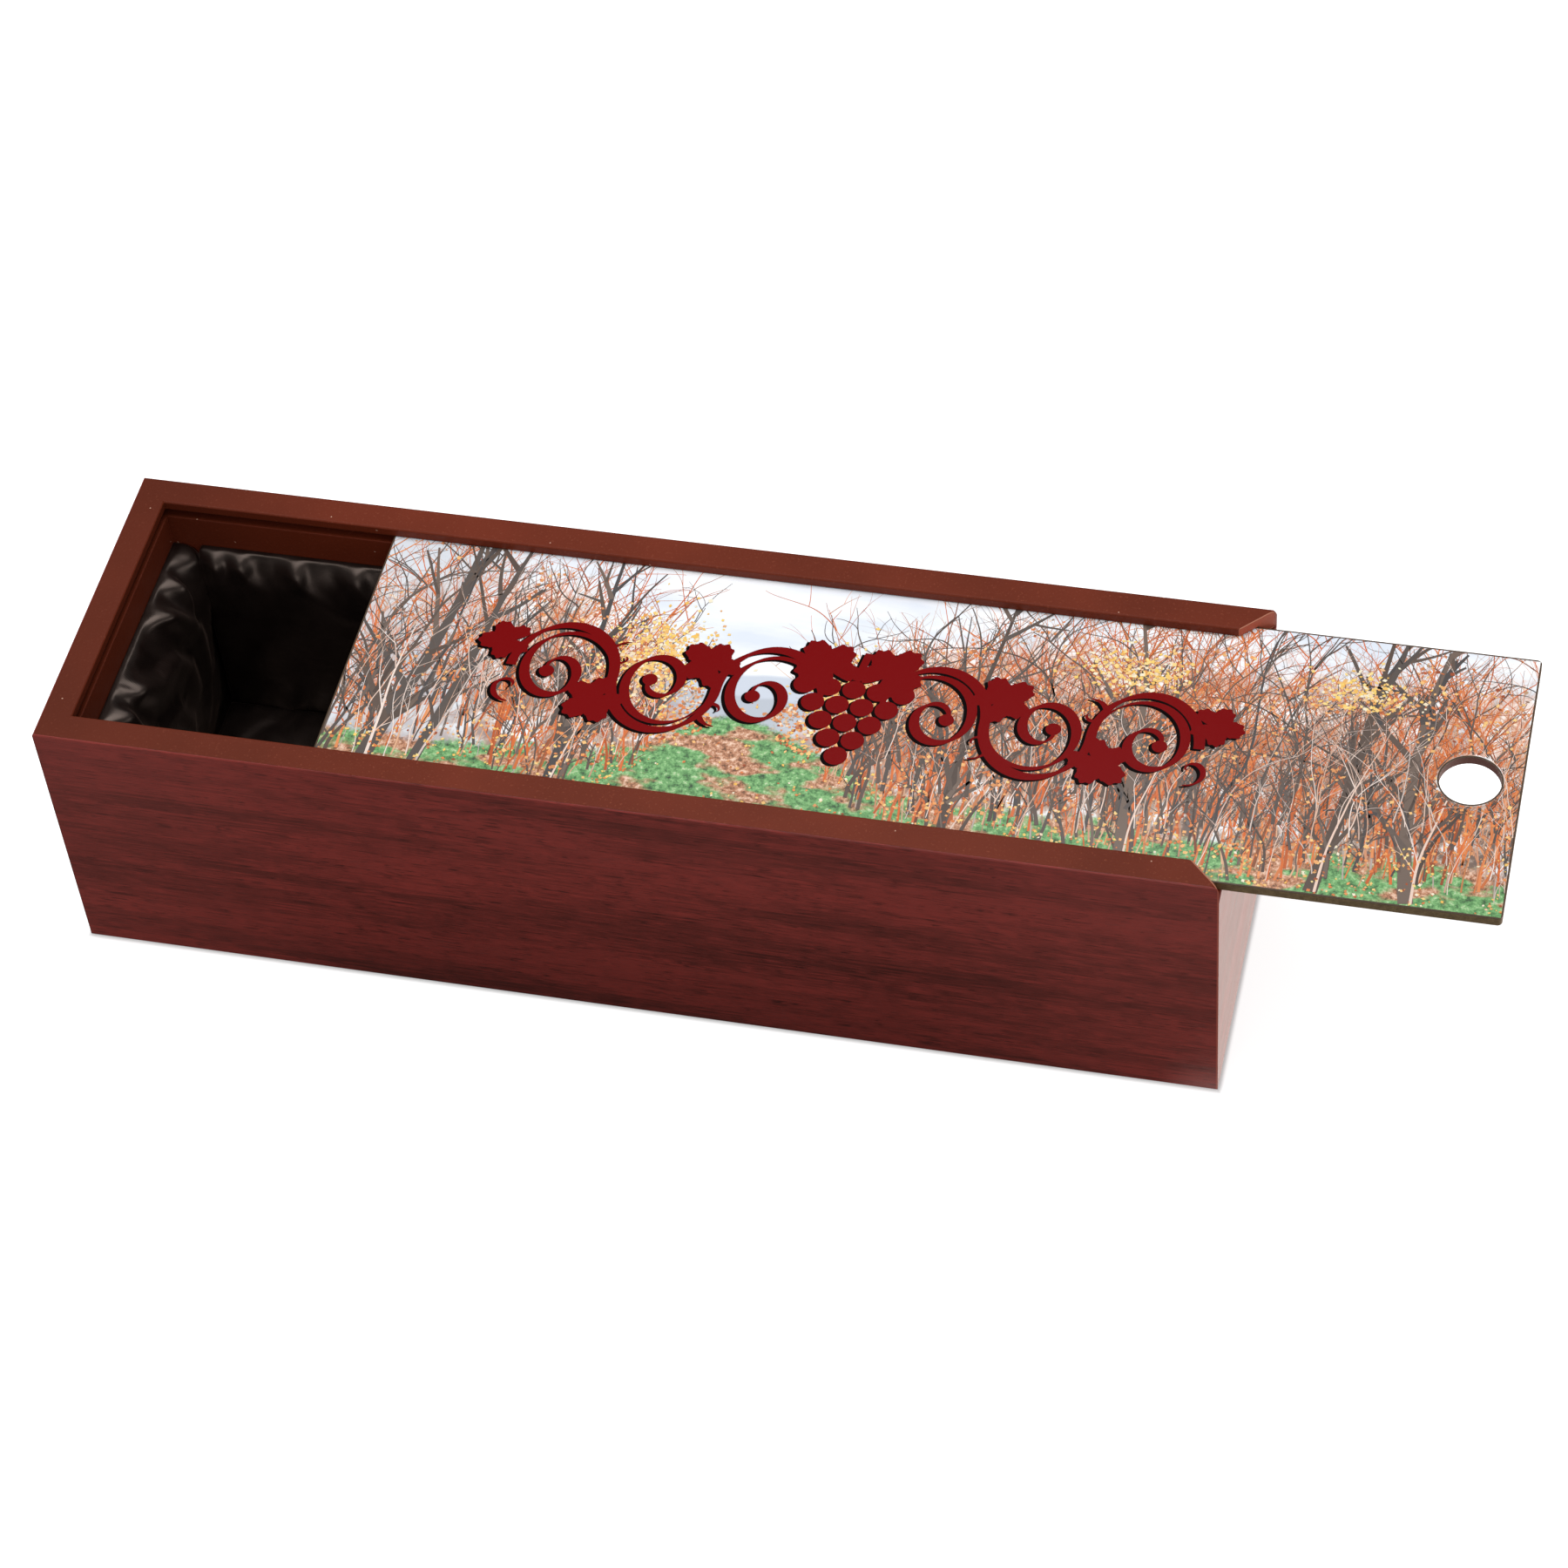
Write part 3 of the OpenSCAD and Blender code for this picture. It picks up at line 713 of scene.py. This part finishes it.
def draw_picture():
    """Draws the stems and leaves, from the far ones to the near ones."""
    chance = random.Random(41)
    far = Ink("far_twigs", 1, [(180, 166, 158), (212, 142, 102), (150, 128, 116), (222, 172, 138)])
    haze = Ink("far_leaves", 2, [
        (216, 130, 80), (232, 160, 104), (188, 102, 62),
        (240, 190, 140), (146, 122, 108), (248, 222, 198),
    ])
    middle = Ink("middle_twigs", 3, [
        (208, 104, 54), (224, 128, 72), (170, 78, 42), (236, 152, 98), (112, 68, 52), (214, 112, 64),
    ])
    dark = Ink("dark_twigs", 4, [
        (92, 84, 80), (100, 86, 78), (84, 72, 66), (118, 102, 92), (80, 76, 76),
    ])
    pale = Ink("pale_twigs", 5, [(232, 204, 188), (242, 228, 220), (222, 174, 146), (208, 192, 184)])
    front = Ink("near_leaves", 6, [
        (218, 124, 72), (236, 160, 98), (190, 94, 56), (248, 206, 134), (240, 174, 114), (158, 82, 54),
    ])
    yellow = Ink("yellow_leaves", 7, [
        (244, 206, 112), (236, 182, 90), (250, 224, 150), (224, 152, 80), (242, 232, 204),
    ])

    def thicket(inks, count, shares, spread, widths, twigs, wildness):
        """Stems all along the picture, but not in the clearing, in shares of the thicket's height."""
        for _ in range(count):
            x = chance.uniform(-LID_HALF.x, LID_HALF.x)
            in_clearing = abs(x - CLEARING) < CLEARING_WIDTH * 0.62
            if in_clearing or (x < MISTY_END and chance.random() < 0.45):
                continue
            tall = chance.choice(shares) * (thicket_top(x) - meadow_top(x)) + chance.uniform(*spread)
            foot = meadow_top(x) - chance.uniform(-14, 12)
            stem(chance, inks, x, foot, max(tall, 8.0), chance.uniform(*widths), twigs, wildness)

    thicket(far, 480, (0.8,), (-18, 22), (0.25, 0.6), 6, 0.03)
    thicket(middle, 450, (0.5, 0.9, 1.1), (-16, 20), (0.35, 1.0), 6, 0.025)
    thicket(dark, 280, (0.35, 0.6, 1.1), (-6, 14), (0.4, 1.3), 6, 0.035)
    thicket(pale, 110, (0.3, 0.6, 0.9), (-10, 14), (0.2, 0.4), 5, 0.035)
    for x, width in TRUNKS:
        stem(chance, dark, x, -LID_HALF.y + 1, 2 * LID_HALF.y, width, 12, 0.008)
        stem(chance, pale, x + 0.3 * width, -LID_HALF.y + 1, 1.2 * LID_HALF.y, 0.2 * width, 3, 0.01)

    def leaves(inks, count, low, high, clumps, least, sizes):
        """Leaves between two heights, where the clumping noise is over its least value."""
        for _ in range(count):
            x = chance.uniform(-LID_HALF.x, LID_HALF.x)
            y = chance.uniform(meadow_top(x) + low, thicket_top(x) + high)
            bar = least + 0.3 * (x < MISTY_END)
            if noise.noise(Vector((x / clumps, y / clumps, least * 40))) > bar:
                leaf_fleck(chance, inks, x, y, chance.uniform(*sizes))

    leaves(haze, 4300, 0, 6, 9, -0.12, (0.7, 1.7))
    leaves(front, 4500, -6, 2, 12, 0.04, (0.7, 1.8))
    for crown_x, crown_y, wide, tall, count in YELLOW_CROWNS:
        for _ in range(count):
            x = chance.gauss(crown_x, wide / 2)
            y = chance.gauss(crown_y, tall / 2)
            leaf_fleck(chance, yellow, x, y, chance.uniform(0.8, 1.9))
    for _ in range(1800):
        x = chance.uniform(-LID_HALF.x, LID_HALF.x)
        y = chance.uniform(-LID_HALF.y, meadow_top(x) + 4)
        fleck = yellow if chance.random() < 0.4 else front
        if noise.noise(Vector((x / 12, y / 6, 1.7))) > -0.05:
            leaf_fleck(chance, fleck, x, y, chance.uniform(0.6, 1.5))
    for layer in (far, haze, middle, dark, pale, front, yellow):
        layer.dry()


# The ornament is a symmetrical vine scroll: a wave of half circles with a spiral in each.
ORNAMENT_PLACE = (-22.0, -1.0)  # mm from the lid's middle
SHADOW_OFFSET = (-0.9, -0.75)
SCROLL_START = 9.0  # mm from the ornament's middle to its first turn
SCROLL_RADIUS = 15.8
SCROLL_RISE = 1.16  # height of its turns, of their length
HALF_WAVES = 3
WAVE_STEPS = 40
SPIRAL_STEPS = 83
SPIRAL_TURNS = 3.1  # half turns
TENDRIL_STEPS = 39
GRAPE_RADIUS = 3.5
GRAPE_ROWS = 5
LEAF_STEPS = 90
NIB = math.radians(38)  # the angle of the broad pen that seems to draw the strokes


def pen_widths(path, thin, broad, taper_start=0.12, taper_end=0.3):
    """Widths of a pen stroke: broad across the nib, thin along it, fading at both ends."""
    widths = []
    for index, along in enumerate(headings(path)):
        share = index / (len(path) - 1)
        fade = 1.0
        if taper_start:
            fade = min(fade, share / taper_start)
        if taper_end:
            fade = min(fade, (1 - share) / taper_end)
        width = thin + (broad - thin) * abs(math.sin(along - NIB))
        widths.append(max(0.3, width * (0.25 + 0.75 * fade)))
    return widths


def vine_leaf(x, y, radius, heading):
    """Outline of a five-lobed leaf with a toothed edge, whose tip points along heading."""
    outline = []
    for k in range(LEAF_STEPS):
        turn = 2 * math.pi * k / LEAF_STEPS
        lobes = 0.60 + 0.34 * abs(math.cos(2.5 * turn)) ** 0.8
        teeth = 0.045 * math.cos(20 * turn)
        notch = 0.34 * math.exp(-(((turn - math.pi) / 0.22) ** 2))
        reach = radius * (lobes + teeth - notch) * (1.12 if abs(math.sin(turn / 2)) < 0.3 else 1.0)
        outline.append((x + reach * math.cos(turn + heading), y + reach * math.sin(turn + heading)))
    return outline


def scroll_point(centre, up, turn, reach):
    """A point in a direction and at a distance from a scroll's centre."""
    return centre + reach * math.cos(turn), up * SCROLL_RISE * reach * math.sin(turn)


def draw_ornament(put):
    """Draws the ornament once with each ink that put names, moved by that ink's offset."""
    def stroke(side, path, thin, broad, **taper):
        for inks, dx, dy in put:
            moved = [(side * x + dx, y + dy) for x, y in path]
            inks.stroke(moved, pen_widths(moved, thin, broad, **taper))

    def blot(side, outline):
        ordered = outline if side > 0 else outline[::-1]
        for inks, dx, dy in put:
            inks.blot([(side * x + dx, y + dy) for x, y in ordered])

    def disc(x, y, radius):
        for inks, dx, dy in put:
            inks.disc(x + dx, y + dy, radius)

    for side in (1, -1):
        for k in range(HALF_WAVES):
            up = 1 if k % 2 == 0 else -1
            centre = SCROLL_START + SCROLL_RADIUS * (2 * k + 1)
            wave = [
                scroll_point(centre, up, math.pi * (1 - t / WAVE_STEPS), SCROLL_RADIUS)
                for t in range(WAVE_STEPS + 1)
            ]
            stroke(side, wave, 1.3, 3.6, taper_start=0.0 if k else 0.2, taper_end=0.0)
            spiral = []
            for share in (t / SPIRAL_STEPS for t in range(SPIRAL_STEPS + 1)):
                turn = math.pi - share * SPIRAL_TURNS * math.pi
                reach = SCROLL_RADIUS * 0.985 * (1 - share) ** 1.15 + 2.2 * share
                spiral.append(scroll_point(centre + 2.4 * share, up, turn, reach))
            stroke(side, spiral, 1.1, 3.3, taper_start=0.3, taper_end=0.35)
            disc(side * spiral[-1][0], spiral[-1][1], 2.3)
            joint = centre + SCROLL_RADIUS
            size, lean = (9.6, 40) if k < HALF_WAVES - 1 else (8.2, -8)
            blot(side, vine_leaf(joint + 3.5, up * 9.5, size, up * math.radians(lean)))
            tendril = []
            for share in (t / TENDRIL_STEPS for t in range(TENDRIL_STEPS + 1)):
                turn = math.radians(-100) * up + up * share * 1.5 * math.pi
                reach = 5.2 * (1 - share) ** 0.8 + 0.6
                tendril.append(
                    (joint - 1.5 + reach * math.cos(turn), -up * 8.5 + reach * math.sin(turn))
                )
            stroke(side, tendril, 0.8, 1.8, taper_start=0.2, taper_end=0.5)
        blot(side, vine_leaf(9.6, 14.5, 10.6, math.radians(52)))

    for row in range(GRAPE_ROWS):
        for k in range(GRAPE_ROWS - row):
            x = (k - (GRAPE_ROWS - 1 - row) / 2) * GRAPE_RADIUS * 2.12
            disc(x, 6.5 - row * GRAPE_RADIUS * 1.86, GRAPE_RADIUS)
    stalk = [(0.2 * t, 10 + 1.4 * t) for t in range(9)]
    stroke(1, stalk, 1.8, 2.6, taper_start=0.0, taper_end=0.0)


def make_lid_inks():
    draw_picture()
    shadow = Ink("ornament_shadow", 9, [(16, 5, 6)], gloss=0.05)
    red = Ink("ornament", 10, [(116, 2, 10)], gloss=0.08)
    (x, y), (dx, dy) = ORNAMENT_PLACE, SHADOW_OFFSET
    draw_ornament([(shadow, x + dx, y + dy), (red, x, y)])
    shadow.dry()
    red.dry()


make_lid_inks()

# ---- satin pads

SIM_SCALE = 10.0  # the cloth is simulated ten times as large, where its solver is steady
SIM_FRAMES = 30
SHEET_SPACING = 3.0  # between the pads while they are simulated
CLOTH_GAP = 0.004  # how near the cloth comes to the wadding, at that scale
CELL = 1.8 * MM  # the satin's grid on the long pads
END_CELL = 1.2 * MM  # and on the end pads
WADDING_TOP = 4.0 * MM  # greyboard and wadding
WADDING_INSET = 7 * MM
SATIN_THICKNESS = 0.35 * MM
HEM_HEIGHT = 0.1 * MM
HEM_SHARES = (0.6, 0.25, 0.0)  # heights of the turned edge's rows, of the face's own there
ROLL = 5 * MM  # how far in from an edge the satin takes to reach its even height
UPPER_ROLL = 16 * MM  # the same from an upper edge
UPPER_SHARE = 0.25  # height at an upper edge, of the even height
PUFF = 0.36  # how much higher than even the satin stands below its upper edge
PUFF_DEPTH = 14 * MM
TUCK = 1.3 * MM  # how far a pad's edge fills the seam beside it
RIPPLE_HEIGHT = 0.8  # mm
RIPPLE_SIZE = (13 * MM, 19 * MM)  # along a lying pad and across it
EDGE_FADE = 3 * MM  # nearer than this to an edge, folds and ripples get lower
EDGE_SHARE = 0.4
SLIP = 4 * MM  # how far the satin may slip sideways as it settles
LEAST_HEIGHT = 2 * MM  # beside the wadding
CLEARANCE = 0.2 * MM  # over the wadding

# node: (turn of a lying pad about X and Z in degrees, spare satin, pressure, even height, greatest
# height, share of the even height at its ends and at its foot)
PADS = {
    "floor_satin": (0, 0, 0.10, 1.6, 4.8 * MM, 7.4 * MM, 0.97),
    "front_satin": (90, 180, 0.12, 2.0, 4.9 * MM, 8.4 * MM, 1.08),
    "rear_satin": (90, 0, 0.12, 2.0, 4.9 * MM, 8.4 * MM, 1.08),
    "closed_end_satin": (90, 90, 0.16, 2.6, 5.0 * MM, 12.6 * MM, 1.82),
    "open_end_satin": (90, -90, 0.16, 2.6, 5.0 * MM, 12.6 * MM, 1.82),
}
LAID_SHARE = 0.8  # how much the satin keeps of the folds it was laid in; the rest is as it settled
STEEP_SIDE = 0.6  # half width of a fold's steep side and of its easy side, of the fold's own
EASY_SIDE = 1.3

# Folds that the satin is laid in before it settles: (height, half width, points along the crest),
# all in mm on the lying pad, from its middle, with its upper edge at the greatest second value.
FOLDS = {
    "closed_end_satin": [
        (6.0, 4.4, [(42, 37), (40, 26), (35, 9), (33, -12)]),
        (5.2, 2.8, [(29, 37), (28, 26), (24, 17)]),
        (6.4, 3.2, [(14, 37), (20, 28), (27, 15), (28, -6), (22, -26)]),
        (6.4, 3.6, [(-14, 33), (-4, 24), (9, 20), (18, 9), (20, -8)]),
        (6.0, 4.0, [(-26, 37), (-24, 25), (-14, 12), (2, 6), (9, -8), (6, -28)]),
        (4.6, 2.2, [(-41, 35), (-34, 32), (-27, 23)]),
        (5.6, 3.6, [(-43, 24), (-34, 8), (-18, -2), (-10, -16), (-12, -34)]),
        (4.6, 3.4, [(-43, 4), (-34, -10), (-30, -30)]),
    ],
    "open_end_satin": [
        (6.0, 4.2, [(41, 37), (33, 22), (36, 2), (30, -24)]),
        (6.2, 3.6, [(24, 37), (20, 24), (8, 12), (4, -6), (12, -26)]),
        (5.4, 3.2, [(5, 37), (-2, 24), (-14, 14), (-16, -4)]),
        (6.0, 4.0, [(-16, 37), (-24, 22), (-20, 4), (-27, -20)]),
        (5.4, 3.4, [(-42, 36), (-38, 18), (-30, 4), (-34, -26)]),
    ],
    "rear_satin": [
        (3.4, 2.6, [(-154, 37), (-151, 26), (-149, 14)]),
        (3.0, 2.4, [(-146, 37), (-143, 30), (-137, 23)]),
        (3.4, 2.4, [(-128, 37), (-124, 28), (-112, 19), (-98, 17)]),
        (2.6, 2.8, [(-108, 37), (-104, 27), (-90, 20)]),
        (3.0, 3.0, [(-84, 37), (-80, 24), (-83, 8)]),
        (3.2, 2.6, [(-62, 37), (-58, 26), (-46, 20), (-30, 22)]),
        (3.0, 3.2, [(-21, 37), (-15, 22), (-18, 2)]),
        (3.0, 2.8, [(14, 37), (18, 26), (30, 20)]),
        (3.2, 3.0, [(55, 37), (61, 22), (58, 6)]),
        (3.0, 2.8, [(92, 37), (94, 26), (108, 19)]),
        (3.2, 3.2, [(131, 37), (137, 22), (133, 8)]),
    ],
    "front_satin": [
        (3.0, 3.0, [(-134, 37), (-130, 24), (-116, 18)]),
        (3.2, 3.0, [(-101, 37), (-106, 20), (-103, 4)]),
        (3.0, 2.6, [(-66, 37), (-60, 26), (-48, 20)]),
        (3.2, 3.0, [(-24, 37), (-29, 22), (-26, 6)]),
        (3.0, 2.8, [(12, 37), (17, 26), (31, 19)]),
        (3.2, 3.0, [(49, 37), (44, 20), (47, 2)]),
        (3.0, 2.8, [(88, 37), (93, 26), (106, 20)]),
        (3.4, 2.6, [(126, 37), (130, 24), (127, 10)]),
        (3.0, 2.0, [(147, 37), (145, 26)]),
    ],
    "floor_satin": [
        (2.4, 4.0, [(-158, 22), (-138, 10), (-112, 14), (-92, 2)]),
        (2.0, 3.4, [(-156, -14), (-134, -20), (-108, -10)]),
        (2.2, 3.6, [(-96, -38), (-84, -22), (-60, -16), (-38, -24)]),
        (2.2, 4.2, [(-70, 38), (-60, 22), (-36, 12), (-10, 16)]),
        (2.0, 3.4, [(-20, -38), (-6, -24), (18, -20), (34, -6)]),
        (2.4, 3.8, [(12, 38), (26, 24), (54, 18), (72, 4)]),
        (2.2, 3.6, [(58, -38), (72, -24), (100, -20), (118, -10)]),
        (2.0, 3.8, [(96, 38), (108, 24), (132, 16)]),
        (2.4, 3.8, [(158, -6), (140, 2), (122, -2), (104, 8)]),
        (2.0, 3.4, [(157, -30), (140, -26), (126, -30)]),
    ],
}


def pad_place(node):
    """Length and width of a lying pad, and the matrix that sets it where its node is."""
    low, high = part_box(node)
    middle = (low + high) / 2
    turn_x, turn_z = PADS[node][:2]
    size = high - low
    if turn_x == 0:
        place = Matrix.Translation((middle.x, middle.y, low.z))
        return size.x + 2 * TUCK, size.y + 2 * TUCK, place
    turn = Matrix.Rotation(math.radians(turn_z), 4, "Z") @ Matrix.Rotation(math.radians(90), 4, "X")
    back = {
        180: (middle.x, low.y), 0: (middle.x, high.y),
        90: (low.x, middle.y), -90: (high.x, middle.y),
    }[turn_z]
    length = size.x + 2 * TUCK if turn_z in (0, 180) else size.y
    return length, size.z, Matrix.Translation((*back, middle.z)) @ turn


def rise(distance, share, roll):
    """Height over the wall, of the full one, at a distance in from an edge."""
    out = 1 - min(distance / roll, 1.0)
    return share + (1 - share) * math.sqrt(1 - out * out)


def crest(x, y, fold):
    """What a fold adds at a point: its height on the crest, fading towards its foot and beside it.

    It is steep on the left of its path and easy on the right, as cloth is that leans over."""
    height, half_width, path = fold
    nearest = 0.0
    reach = 0.0
    for index, (start, end) in enumerate(zip(path, path[1:])):
        along = Vector(end) - Vector(start)
        off = Vector((x, y)) - Vector(start)
        share = min(max(off.dot(along) / along.length_squared, 0.0), 1.0)
        away = off - along * share
        spread = half_width * (STEEP_SIDE if along.cross(away) > 0 else EASY_SIDE)
        near = math.exp(-((away.length / spread) ** 2))
        if near > nearest:
            nearest = near
            reach = (index + share) / (len(path) - 1)
    return height * nearest * (1 - reach ** 3)


def lying_grid(node, length, width):
    """Points of a pad's face, lying at z = 0 with its middle at the origin, and its grid size."""
    cell = END_CELL if "end" in node else CELL
    columns = round(length / cell)
    rows = round(width / cell)
    turn_x, _, _, _, even, _, share = PADS[node]
    upper_share, upper_roll = (UPPER_SHARE, UPPER_ROLL) if turn_x else (share, ROLL)
    seed = 10.0 * list(PADS).index(node)
    points = np.zeros((columns + 1, rows + 1, 3))
    for i in range(columns + 1):
        for j in range(rows + 1):
            x = length * (i / columns - 0.5)
            y = width * (j / rows - 0.5)
            ends = rise(min(i, columns - i) * cell, share, ROLL)
            lower = rise(j * cell, share, ROLL)
            upper = rise((rows - j) * cell, upper_share, upper_roll)
            if turn_x:
                upper *= 1 + PUFF * math.exp(-(((rows - j) * cell / PUFF_DEPTH - 1) ** 2))
            folds = sum(crest(x / MM, y / MM, fold) for fold in FOLDS[node])
            ripple = noise.noise(Vector((x / RIPPLE_SIZE[0] + seed, y / RIPPLE_SIZE[1], seed)))
            inside = min(i, columns - i, j, rows - j) * cell
            fade = EDGE_SHARE + (1 - EDGE_SHARE) * min(inside / EDGE_FADE, 1.0)
            height = even * ends * lower * upper + (folds + RIPPLE_HEIGHT * ripple) * MM * fade
            points[i, j] = x, y, height
    return points


def grid_faces(columns, rows):
    return [
        (a, a + rows + 1, a + rows + 2, a + 1)
        for i in range(columns) for j in range(rows) for a in [i * (rows + 1) + j]
    ]


def cloth_on(piece, spare, pressure):
    """Pins the edge and gives the satin more cloth than the board it covers."""
    cloth = piece.modifiers.new("cloth", "CLOTH")
    settings = cloth.settings
    settings.quality = 6
    settings.mass = 0.15
    settings.air_damping = 3.0
    settings.tension_stiffness = 8
    settings.compression_stiffness = 8
    settings.shear_stiffness = 3
    settings.bending_stiffness = 0.12
    settings.vertex_group_mass = "edge"
    settings.shrink_min = -spare
    settings.use_pressure = True
    settings.uniform_pressure_force = pressure
    settings.effector_weights.gravity = 0
    cloth.collision_settings.distance_min = CLOTH_GAP
    cloth.collision_settings.use_self_collision = False


def simulate(sheets):
    """Runs all pads at once, side by side, and returns each one's points."""
    stand_ins = {}
    for index, (node, points) in enumerate(sheets.items()):
        columns, rows = points.shape[0] - 1, points.shape[1] - 1
        away = Vector((0, SHEET_SPACING * index, 0))
        flat = points.reshape(-1, 3) * SIM_SCALE + np.array(away)
        sheet = add_mesh(f"sim_{node}", flat, grid_faces(columns, rows), MATERIALS["satin"])
        edge = sheet.vertex_groups.new(name="edge")
        edge.add([
            i * (rows + 1) + j for i in range(columns + 1) for j in range(rows + 1)
            if i in (0, columns) or j in (0, rows)
        ], 1.0, "REPLACE")
        cloth_on(sheet, PADS[node][2], PADS[node][3])
        half_length = (points[-1, 0, 0] - WADDING_INSET) * SIM_SCALE
        half_width = (points[0, -1, 1] - WADDING_INSET) * SIM_SCALE
        top = WADDING_TOP * SIM_SCALE
        corners = [
            away + Vector((sx * half_length, sy * half_width, z))
            for z in (0, top) for sx, sy in SQUARE
        ]
        sides = [(0, 3, 2, 1), (4, 5, 6, 7), (0, 1, 5, 4), (1, 2, 6, 5), (2, 3, 7, 6), (3, 0, 4, 7)]
        core = add_mesh(f"core_{node}", corners, sides, MATERIALS["wadding"])
        core.modifiers.new("collision", "COLLISION")
        core.collision.thickness_outer = CLOTH_GAP
        stand_ins[node] = (sheet, core, away)
    scene = bpy.context.scene
    for step in range(1, SIM_FRAMES + 1):
        scene.frame_set(step)
    graph = bpy.context.evaluated_depsgraph_get()
    results = {}
    for node, (sheet, core, away) in stand_ins.items():
        mesh = sheet.evaluated_get(graph).data
        moved = np.empty(len(mesh.vertices) * 3)
        mesh.vertices.foreach_get("co", moved)
        results[node] = (moved.reshape(sheets[node].shape) - np.array(away)) / SIM_SCALE
    for sheet, core, _ in stand_ins.values():
        bpy.data.objects.remove(sheet)
        bpy.data.objects.remove(core)
    scene.frame_set(1)
    return results


def settle(points, start, even, greatest):
    """Keeps the satin above the wadding, below its greatest height and near where it started."""
    settled = points.copy()
    settled[..., :2] = start[..., :2] + SLIP * np.tanh((points - start)[..., :2] / SLIP)
    over = np.maximum(settled[..., 2] - even, 0)
    room = greatest - even
    settled[..., 2] = np.minimum(settled[..., 2], even) + room * np.tanh(over / room)
    inset = np.minimum.reduce([
        start[..., 0] - start[0, 0, 0], start[-1, 0, 0] - start[..., 0],
        start[..., 1] - start[0, 0, 1], start[0, -1, 1] - start[..., 1],
    ])
    over_wadding = WADDING_TOP + SATIN_THICKNESS + CLEARANCE
    least = np.where(inset > WADDING_INSET - 2 * MM, over_wadding, LEAST_HEIGHT)
    settled[..., 2] = np.maximum(settled[..., 2], least)
    return settled


def pad_piece(node, points):
    """The satin cover as a thin shell: its gathered face, and its edge turned down to the wall."""
    columns, rows = points.shape[0] - 1, points.shape[1] - 1
    ring = (
        [(i, 0) for i in range(columns)] + [(columns, j) for j in range(rows)]
        + [(i, rows) for i in range(columns, 0, -1)] + [(0, j) for j in range(rows, 0, -1)]
    )
    flat = [Vector(point) for point in points.reshape(-1, 3)]
    faces = grid_faces(columns, rows)
    above = [i * (rows + 1) + j for i, j in ring]
    for share in HEM_SHARES:
        below = range(len(flat), len(flat) + len(ring))
        for i, j in ring:
            x, y, height = points[i, j]
            flat.append(Vector((x, y, HEM_HEIGHT + share * (height - HEM_HEIGHT))))
        for k in range(len(ring)):
            after = (k + 1) % len(ring)
            faces.append((above[k], below[k], below[after], above[after]))
        above = list(below)
    piece = add_mesh(node.replace("_satin", "_pad"), flat, faces, MATERIALS["satin"], smooth=True)
    piece.data.transform(pad_place(node)[2])
    shell = piece.modifiers.new("thickness", "SOLIDIFY")
    shell.thickness = SATIN_THICKNESS
    shell.offset = -1
    smoother = piece.modifiers.new("smooth", "SUBSURF")
    smoother.levels = 1
    smoother.render_levels = 1
    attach(piece, "box")
    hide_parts(node)


def make_pads():
    start = {node: lying_grid(node, *pad_place(node)[:2]) for node in PADS}
    moved = simulate(start)
    for node in PADS:
        mixed = LAID_SHARE * start[node] + (1 - LAID_SHARE) * moved[node]
        pad_piece(node, settle(mixed, start[node], *PADS[node][4:6]))


make_pads()
